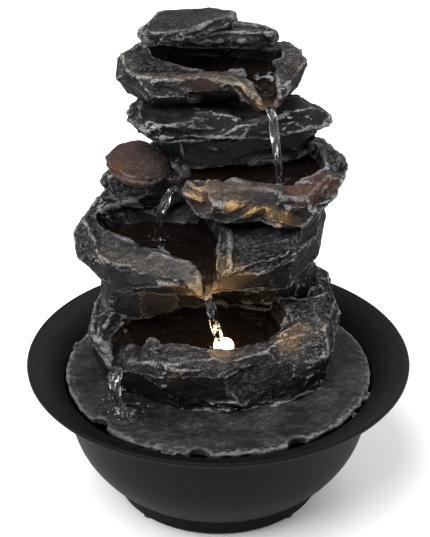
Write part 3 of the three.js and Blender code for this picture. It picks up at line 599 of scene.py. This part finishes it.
def lathe(name, profile, segments):
    """A turned body from a profile of (radius, height) in millimetres that starts and ends on the axis."""
    rows = len(profile)
    points = []
    for i in range(segments):
        angle = 2 * math.pi * i / segments
        points += [(r * math.cos(angle) * MM, r * math.sin(angle) * MM, z * MM) for r, z in profile]
    faces = []
    for i in range(segments):
        j = (i + 1) % segments
        faces += [(i * rows + k, j * rows + k, j * rows + k + 1, i * rows + k + 1) for k in range(rows - 1)]
    obj = mesh_from(name, points, faces)
    work = bmesh.new()
    work.from_mesh(obj.data)
    bmesh.ops.remove_doubles(work, verts=work.verts, dist=WELD)
    bmesh.ops.recalc_face_normals(work, faces=work.faces)
    work.to_mesh(obj.data)
    work.free()
    return obj


WALL = 2.5
BOWL_SIDES = 240
WALL_KNOTS = [    # the outside of the wall, from the foot up to the rim
    (62.5, 12.8), (70, 20), (77, 30), (81.2, 40), (83.9, 52),
    (86.5, 66), (89.5, 70.6), (95.7, 75.2), (102.4, 78.1), (105, 78.6),
]
RIM = [(105.5, 79.3), (105.6, 80.1), (105.2, 80.9), (104.5, 81.3), (103.7, 81.2)]
FOOT = [
    (0, 5.6), (48, 5.6), (49.3, 4.6), (50, 1.4), (50.4, 0.95), (56.2, 0.95),
    (57, 1.3), (57.6, 2.4), (58, 10.2), (58.6, 11.2), (60, 11.7),
]
BOWL_FLOOR = [(58.8, 11.7), (56.8, 9.6), (54, 8.6), (40, 8.5), (0, 8.5)]
CORD_HOLE = [(0, -12), (5.9, -12), (5.9, 12), (0, 12)]
CORD_HOLE_DIP = 10.6    # degrees, square to the wall there


def offset(points, distance):
    """The same line moved sideways."""
    moved = []
    for i, p in enumerate(points):
        along = (points[min(i + 1, len(points) - 1)] - points[max(i - 1, 0)]).normalized()
        moved.append(Vector((p.x - along.y * distance, p.y + along.x * distance)))
    return moved


def make_bowl():
    outside = spline_through(WALL_KNOTS, 8)
    inside = offset(outside, WALL)[1:-1]
    wall_up = [tuple(p) for p in outside]
    wall_down = [tuple(p) for p in reversed(inside)]
    bowl = lathe("bowl_shell", [*FOOT, *wall_up, *RIM, *wall_down, *BOWL_FLOOR], BOWL_SIDES)
    low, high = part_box("cord_grommet")
    hole = lathe("cord_hole", CORD_HOLE, 40)
    hole.rotation_euler.x = math.radians(-90 - CORD_HOLE_DIP)
    hole.location = (low + high) / 2
    cutter = bowl.modifiers.new("hole", "BOOLEAN")
    cutter.object = hole
    cutter.operation = "DIFFERENCE"
    cutter.solver = "EXACT"
    applied(bowl)
    bpy.data.objects.remove(hole)
    bowl.data.set_sharp_from_angle(angle=math.radians(32))
    return bowl


def bowl_look():
    look = Look("bowl_black", Specular_IOR_Level=0.1)
    grain = look.noise(0.0009, 2, 0.5)
    pebbled = look.bump(look.ramp(grain, 0.3, 0.7), 0.6, 0.00026)
    black = look.mix(look.noise(0.03, 2), (0.0016, 0.0016, 0.0017), (0.003, 0.003, 0.0031))
    look.set(Base_Color=black, Normal=pebbled)
    look.set(Roughness=look.ramp(grain, 0.3, 0.7, 0.6, 0.48))
    return look.material


bowl = make_bowl()
bowl.data.materials.append(bowl_look())
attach(bowl, "bowl")
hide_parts("bowl")


# ---------- slate plate ----------
LANDING = (-50, -47)    # where the lowest stream meets the plate
PLATE_EDGE = 81         # beyond this radius the plate's rim is chipped


def plate_look():
    look = Look("slate")
    ridge, wet = look.attribute("ridge"), look.attribute("wet")
    patches = look.noise(0.013, 5, 0.6, (0.9, 1.15, 1))
    drag = look.noise(0.0036, 6, 0.72, (0.9, 1.2, 1))
    body = look.mix(look.ramp(patches, 0.38, 0.62), (0.005, 0.005, 0.0053), (0.019, 0.019, 0.0198))
    grains = look.noise(0.0009, 3, 0.7)
    tooth = look.math("ADD", look.math("MULTIPLY", grains, 0.5), look.math("MULTIPLY", drag, 0.5))
    rubbed = look.math("MULTIPLY", look.ramp(tooth, 0.5, 0.62), look.ramp(patches, 0.4, 0.65, 0.12, 0.5))
    colour = look.mix(rubbed, body, (0.13, 0.13, 0.126))
    chipped = look.math("MULTIPLY", ridge, look.ramp(tooth, 0.4, 0.56, 0.1, 0.9))
    colour = look.mix(chipped, colour, (0.2, 0.2, 0.198))
    colour = look.mix(look.math("MULTIPLY", wet, 0.75), colour, (0.006, 0.006, 0.0065))
    normal = look.bump(drag, 0.8, 0.0011)
    normal = look.bump(grains, 0.6, 0.0003, normal)
    look.set(Base_Color=colour, Normal=normal, Roughness=look.ramp(wet, 0.1, 0.8, 0.62, 0.09))
    look.set(Specular_IOR_Level=look.ramp(wet, 0.0, 0.9, 0.12, 0.5))
    return look.material


def make_plate():
    plate = remeshed(node_copy("slate_plate", "plate_slate"), PLATE_VOXEL * MM)
    mesh = plate.data
    points = read(mesh, mesh.vertices) / MM
    normals = read(mesh, mesh.vertex_normals, "vector")
    radius = np.hypot(points[:, 0], points[:, 1])
    top = normals[:, 2] > 0.6
    away = np.hypot(points[:, 0] - LANDING[0], points[:, 1] - LANDING[1])
    ripple = 0.45 * np.sin(away * 1.15) * np.exp(-away / 13)
    swell = 1.6 * (layered_noise(points / (22, 15, 30), 5, 3) - 0.5)
    warped = points + 6 * (layered_noise(points / 14, 19, 2) - 0.5)[:, None]
    scored = 1.2 * (layered_noise(warped / (8, 6, 12), 8, 4) - 0.5)
    chips = 1.3 * (layered_noise(points / 5, 3, 2) - 0.6)
    push = np.where(top, ripple + swell + scored, 0) + np.where(radius > PLATE_EDGE, chips, 0)
    points = points + normals * push[:, None]
    mesh.vertices.foreach_set("co", (points * MM).ravel())
    mesh.update()
    edge = np.clip((radius - 78) / 6, 0, 1)
    store(mesh, "ridge", np.clip(relief(mesh, 4) / 0.3, 0, 1) * (0.25 + 0.75 * edge))
    store(mesh, "wet", np.clip(1.35 - away / 24, 0, 1) * top)
    plate.data.materials.append(plate_look())
    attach(plate, "rockery")
    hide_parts("slate_plate")


make_plate()


# ---------- water ----------
def water_look():
    look = Look(
        "water_clear", Base_Color=(0.95, 0.97, 0.98, 1), Roughness=0.02, IOR=1.33, Transmission_Weight=1.0,
    )
    look.set(Normal=look.bump(look.noise(0.0025, 2), 0.3, 0.0002))
    return look.material


def pool_look():
    look = Look(
        "water_pool", Base_Color=(0.007, 0.004, 0.0025, 1), Roughness=0.05, Specular_IOR_Level=0.3, Alpha=0.72,
    )
    look.set(Normal=look.bump(look.noise(0.007, 3), 0.3, 0.0006))
    return look.material


clear_water = water_look()
pool_water = pool_look()


def as_water(obj, material, body="rockery"):
    obj.data.materials.append(material)
    obj.data.shade_smooth()
    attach(obj, body)
    return obj


def ring_surface(name, centre, level, reaches, ripples, rings=44):
    """A level surface round a centre, out to the reach in each direction.

    Ripples spread from sources of (x, y, height, wave length).
    """
    count = len(reaches)
    points = [(*centre, level)]
    for ring in range(1, rings + 1):
        for k, reach in enumerate(reaches):
            angle = 2 * math.pi * k / count
            r = reach * ring / rings
            points.append((centre[0] + r * math.cos(angle), centre[1] + r * math.sin(angle), level))
    points = np.array(points)
    lift = 0.35 * (layered_noise(points / 7, 4, 2) - 0.5)
    for x, y, height, wave in ripples:
        away = np.hypot(points[:, 0] - x, points[:, 1] - y)
        lift += height * np.cos(away * 2 * math.pi / wave) * np.exp(-away / (2.2 * wave))
    points[:, 2] += lift
    faces = [(0, 1 + k, 1 + (k + 1) % count) for k in range(count)]
    for ring in range(rings - 1):
        a, b = 1 + ring * count, 1 + (ring + 1) * count
        faces += [(a + k, b + k, b + (k + 1) % count, a + (k + 1) % count) for k in range(count)]
    return mesh_from(name, points * MM, faces)


SHORE_OVERLAP = 0.8    # how far a pool's edge goes into the rock


def shore(rock, centre, level, reach, count=144):
    """How far the pool reaches in each direction before it meets the rock."""
    tree = BVHTree.FromObject(rock, bpy.context.evaluated_depsgraph_get())
    start = Vector((*centre, level)) * MM
    reaches = []
    for k in range(count):
        angle = 2 * math.pi * k / count
        hit = tree.ray_cast(start, Vector((math.cos(angle), math.sin(angle), 0)), reach * MM)[0]
        reaches.append((hit - start).length / MM + SHORE_OVERLAP if hit else reach)
    return reaches


RIPPLES = {
    "lower": [(2, -10, 0.5, 5.0)],
    "middle": [(-31, 22, 0.45, 4.6)],
    "upper": [(33, 11, 0.45, 4.6)],
    "top": [(-8, 58, 0.5, 6.0)],
}
for name, pool in POOLS.items():
    centre, level = pool["centre"], pool["level"]
    reaches = shore(rocks[pool["rock"]], centre, level, pool["reach"])
    surface = ring_surface(f"{name}_pool_water", centre, level, reaches, RIPPLES[name])
    as_water(surface, pool_water)
RESERVOIR_LEVEL = 46
RESERVOIR_REACH = 81.5    # its edge ends within the thickness of the bowl's wall
reservoir = ring_surface("reservoir_water", (0, 0), RESERVOIR_LEVEL, [RESERVOIR_REACH] * 120, [(0, 0, 0.2, 9)])
as_water(reservoir, pool_water, "bowl")


def add_balls(work, places):
    """places holds (x, y, z, radius) or (x, y, z, radius across, radius deep, radius high)."""
    for x, y, z, *radii in places:
        size = radii * 3 if len(radii) == 1 else radii
        made = bmesh.ops.create_icosphere(work, subdivisions=2, radius=1.0)
        bmesh.ops.scale(work, vec=Vector(size), verts=made["verts"])
        bmesh.ops.translate(work, vec=Vector((x, y, z)), verts=made["verts"])


def fluid(name, places, voxel=WATER_VOXEL, rounds=3):
    """One body of water out of overlapping balls."""
    work = bmesh.new()
    add_balls(work, places)
    bmesh.ops.scale(work, vec=Vector((MM, MM, MM)), verts=work.verts)
    mesh = bpy.data.meshes.new(name)
    work.to_mesh(mesh)
    work.free()
    obj = remeshed(new_object(name, mesh), voxel * MM)
    soft = obj.modifiers.new("soft", "SMOOTH")
    soft.iterations = rounds
    soft.factor = 0.5
    return as_water(applied(obj), clear_water)


def along(path, t):
    """A point and the half width on a path of (x, y, z, half width), at t from 0 to 1."""
    at = t * (len(path) - 1)
    i = min(int(at), len(path) - 2)
    f = at - i
    return [a + (b - a) * f for a, b in zip(path[i], path[i + 1])]


def stream(name, path, strands, twist, seed, steps=90):
    """Falling water: strands that wind round the path and join and part."""
    draw = np.random.default_rng(seed)
    line = [tuple(p) for p in spline_through(path, 6)]
    phase = draw.uniform(0, 2 * math.pi, 3)
    places = []
    for k in range(strands):
        start = 2 * math.pi * k / strands
        for i in range(steps):
            t = i / (steps - 1)
            x, y, z, half = along(line, t)
            angle = start + twist * t * 2 * math.pi
            spread = half * (0.7 + 0.3 * math.sin(9 * t + phase[k % 3]))
            thick = 0.6 + 0.2 * math.sin(17 * t + 2 * phase[(k + 1) % 3] + k) + 0.16 * half
            side, front = spread * math.cos(angle), 0.45 * spread * math.sin(angle)
            places.append((x + side, y + front, z, max(0.42, thick)))
    return fluid(name, places)


def splash(name, x, y, z, reach, count, seed):
    """Drops thrown up round the point where a stream lands."""
    draw = np.random.default_rng(seed)
    places = []
    for _ in range(count):
        angle, away = draw.uniform(0, 2 * math.pi), reach * draw.uniform(0.15, 1.0)
        size = draw.uniform(0.28, 0.75)
        height = z + size + draw.uniform(0, 0.5) * reach
        places.append((x + away * math.cos(angle), y + away * math.sin(angle), height, size))
    return fluid(name, places, DROP_VOXEL, 1)


# Each path is of (x, y, z, half width), from the notch down to where the water lands.
stream("top_stream", [
    (26.6, 18, 222.4, 2.0), (27.6, 15, 221.8, 2.4), (28.6, 11.6, 218.6, 2.8), (30.5, 10, 207, 2.5),
    (32, 9.6, 194, 2.0), (33, 9.6, 181.5, 1.7),
], strands=4, twist=0.6, seed=3)
stream("upper_stream", [
    (-17, 15.5, 179.6, 2.0), (-21, 12.6, 179.0, 2.0), (-26, 10.2, 176.4, 2.0), (-29, 10, 169, 2.0),
    (-32, 12, 158, 1.8), (-34, 13, 145, 1.6),
], strands=4, twist=0.8, seed=8)
stream("middle_stream", [
    (-8, -15, 133.4, 2.4), (-6.4, -18.6, 131.6, 2.6), (-5, -22, 129.6, 2.6), (-3, -23, 122, 2.3),
    (-1, -21, 110, 2.1), (1, -19, 97.5, 2.4),
], strands=4, twist=0.9, seed=12)
stream("lower_stream", [
    (-51, -27, 95.8, 2.6), (-53.4, -36, 95.2, 3.0), (-55, -43, 92.6, 3.0), (-54, -47, 86, 2.6),
    (-52, -48, 79, 2.4), (*LANDING, 73.4, 3.4),
], strands=5, twist=1.0, seed=21)
splash("lower_splash", *LANDING, 73.2, reach=13, count=46, seed=5)
splash("middle_splash", -34, 13, 144.6, reach=7, count=16, seed=6)
splash("upper_splash", 33, 9.6, 181, reach=6, count=14, seed=7)
splash("pool_splash", 1, -19, 97, reach=6, count=16, seed=9)


# ---------- lamp and inner parts ----------
def moulded(name, colour, roughness, grain=0.0007, **more):
    """A plain moulded part with a fine grain and slight unevenness."""
    look = Look(name, **more)
    fine = look.noise(grain, 2)
    look.set(Base_Color=look.mix(look.noise(0.005, 3), tuple(0.82 * c for c in colour), colour))
    look.set(Roughness=look.ramp(fine, 0.3, 0.7, roughness * 1.15, roughness * 0.85))
    look.set(Normal=look.bump(fine, 0.4, 0.00007))
    return look.material


lens_glow = Look(
    "lens_glow", Base_Color=(1, 0.8, 0.5, 1), Roughness=0.2, Emission_Color=(1, 0.66, 0.3, 1), Emission_Strength=30.0,
)
SLOT_LOOKS = {
    "soft_rubber": moulded("rubber_black", (0.012, 0.012, 0.012), 0.7),
    "pump_plastic": moulded("pump_black", (0.014, 0.014, 0.015), 0.35),
    "white_plastic": moulded("plastic_white", (0.62, 0.61, 0.57), 0.35),
    "clear_vinyl": moulded("vinyl_clear", (0.8, 0.84, 0.84), 0.15, Transmission_Weight=0.85, IOR=1.5),
    "lamp_lens": lens_glow.material,
    "shaft_ceramic": moulded("ceramic_white", (0.75, 0.74, 0.72), 0.2),
}
for part in frame["record"]["subparts"]:
    if part["material_slot"] in SLOT_LOOKS:
        mesh = frame["nodes"][part["node"]].data
        mesh.materials.clear()
        mesh.materials.append(SLOT_LOOKS[part["material_slot"]])


# ---------- floor, light and camera ----------
floor_look = Look("floor_white", Roughness=0.9)
floor_look.set(Base_Color=(0.95, 0.95, 0.95))
FLOOR = 3    # half its width, in metres
corners = [(-FLOOR, -FLOOR, 0), (FLOOR, -FLOOR, 0), (FLOOR, FLOOR, 0), (-FLOOR, FLOOR, 0)]
floor = mesh_from("floor", corners, [(0, 1, 2, 3)])
floor.data.materials.append(floor_look.material)

CAMERA_DISTANCE = 1.0
CAMERA_RISE = math.radians(29)
SENSOR = 36
FOCAL_RATIO = 1854 / 537    # focal length over the picture's longer side
SHIFT = -0.006
target = Vector((0, 0, 0.1357))
camera = bpy.data.objects.new("camera", bpy.data.cameras.new("camera"))
camera.data.sensor_width = SENSOR
camera.data.lens = SENSOR * FOCAL_RATIO
camera.data.shift_x = SHIFT
camera.location = target + CAMERA_DISTANCE * Vector((0, -math.cos(CAMERA_RISE), math.sin(CAMERA_RISE)))
camera.rotation_euler = (target - camera.location).to_track_quat("-Z", "Y").to_euler()
scene.collection.objects.link(camera)
scene.camera = camera


def area_light(name, place, size, power):
    light = bpy.data.lights.new(name, "AREA")
    light.shape = "DISK"
    light.size = size
    light.energy = power
    obj = bpy.data.objects.new(name, light)
    obj.location = place
    obj.rotation_euler = (Vector((0, 0, 0.12)) - Vector(place)).to_track_quat("-Z", "Y").to_euler()
    scene.collection.objects.link(obj)


def sun(name, place, spread, power):
    """A distant light from the direction of place, as wide as spread degrees."""
    light = bpy.data.lights.new(name, "SUN")
    light.angle = math.radians(spread)
    light.energy = power
    obj = bpy.data.objects.new(name, light)
    obj.rotation_euler = (-Vector(place)).to_track_quat("-Z", "Y").to_euler()
    scene.collection.objects.link(obj)


sun("key", (-0.6, -0.5, 1.2), 50, 4.3)
sun("side", (1.0, 0.1, 1.0), 60, 1.3)
area_light("back", (0.2, 1.2, 0.9), 0.8, 5)
low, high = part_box("lamp_lens")
glow = bpy.data.lights.new("lamp_glow", "POINT")
glow.color = (1.0, 0.62, 0.28)
glow.energy = 0.013
glow.shadow_soft_size = 0.004
glow_object = bpy.data.objects.new("lamp_glow", glow)
GLOW_FORWARD, GLOW_UP = 0.002, 0.007    # from the lens's middle and top, in metres
glow_object.location = ((low.x + high.x) / 2, (low.y + high.y) / 2 - GLOW_FORWARD, high.z + GLOW_UP)
scene.collection.objects.link(glow_object)
world = bpy.data.worlds.new("world")
world.use_nodes = True
world.node_tree.nodes["Background"].inputs["Color"].default_value = (1, 1, 1, 1)
world.node_tree.nodes["Background"].inputs["Strength"].default_value = 0.45
scene.world = world
scene.view_settings.view_transform = "Standard"
